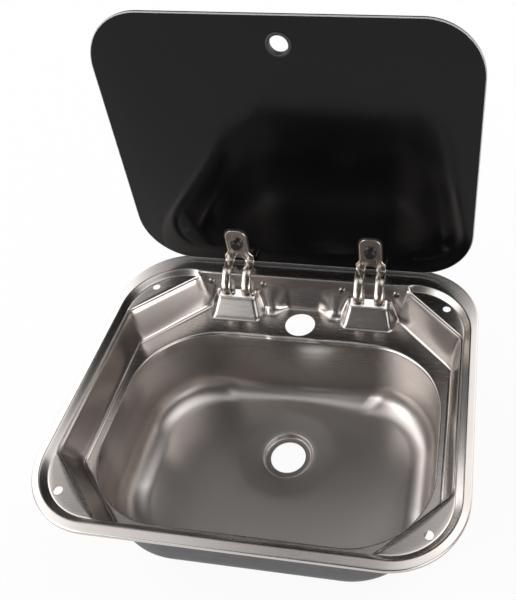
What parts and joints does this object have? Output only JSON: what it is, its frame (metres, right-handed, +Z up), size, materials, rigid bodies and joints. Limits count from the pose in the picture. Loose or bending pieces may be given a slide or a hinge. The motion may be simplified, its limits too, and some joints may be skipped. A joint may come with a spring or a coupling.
{
  "type": "rv sink with glass lid",
  "caption": "Rectangular pressed stainless caravan sink with an eight-sided recess, a deep rounded bowl and a black glass lid that folds up on two strap hinges.",
  "frame": {"origin": "centre of the four worktop screw holes, on the worktop surface", "axes": "+X to the right seen from the front, +Y to the rear (the hinge side), +Z up; the lid is open at rest"},
  "size_m": [0.42, 0.37, 0.471],
  "materials": {
    "stainless_sheet": "satin",
    "black_glass": "polished, printed black behind",
    "black_rubber": "matt",
    "black_plastic": "matt",
    "black_metal": "satin black",
    "hinge_steel": "polished strip",
    "zinc_steel": "zinc plated",
    "screw_steel": "bright"
  },
  "bodies": {
    "sink": {"sink_bowl": "stainless_sheet", "hinge_bracket_left": "zinc_steel", "hinge_bracket_right": "zinc_steel", "hinge_pin_left": "zinc_steel", "hinge_pin_right": "zinc_steel", "pin_clips_left": "zinc_steel", "pin_clips_right": "zinc_steel", "pivot_washers_left": "black_plastic", "pivot_washers_right": "black_plastic", "hinge_screws_left": "screw_steel", "hinge_screws_right": "screw_steel", "hinge_nuts_left": "zinc_steel", "hinge_nuts_right": "zinc_steel"},
    "lid": {"lid_glass": "black_glass", "finger_hole_grommet": "black_rubber", "hinge_arm_left": "hinge_steel", "hinge_arm_right": "hinge_steel", "hinge_pad_left": "black_rubber", "hinge_pad_right": "black_rubber", "lid_bolt_left": "black_metal", "lid_bolt_right": "black_metal", "disc_gasket_left": "black_rubber", "disc_gasket_right": "black_rubber", "glass_sleeve_left": "black_plastic", "glass_sleeve_right": "black_plastic", "lid_nut_left": "zinc_steel", "lid_nut_right": "zinc_steel", "nut_cap_left": "black_plastic", "nut_cap_right": "black_plastic"}
  },
  "joints": [
    {"name": "lid_hinge", "type": "hinge", "parent": "sink", "child": "lid", "pos_m": [0, 0.173, -0.0086], "axis": [1, 0, 0], "range_deg": [0, 90]}
  ]
}
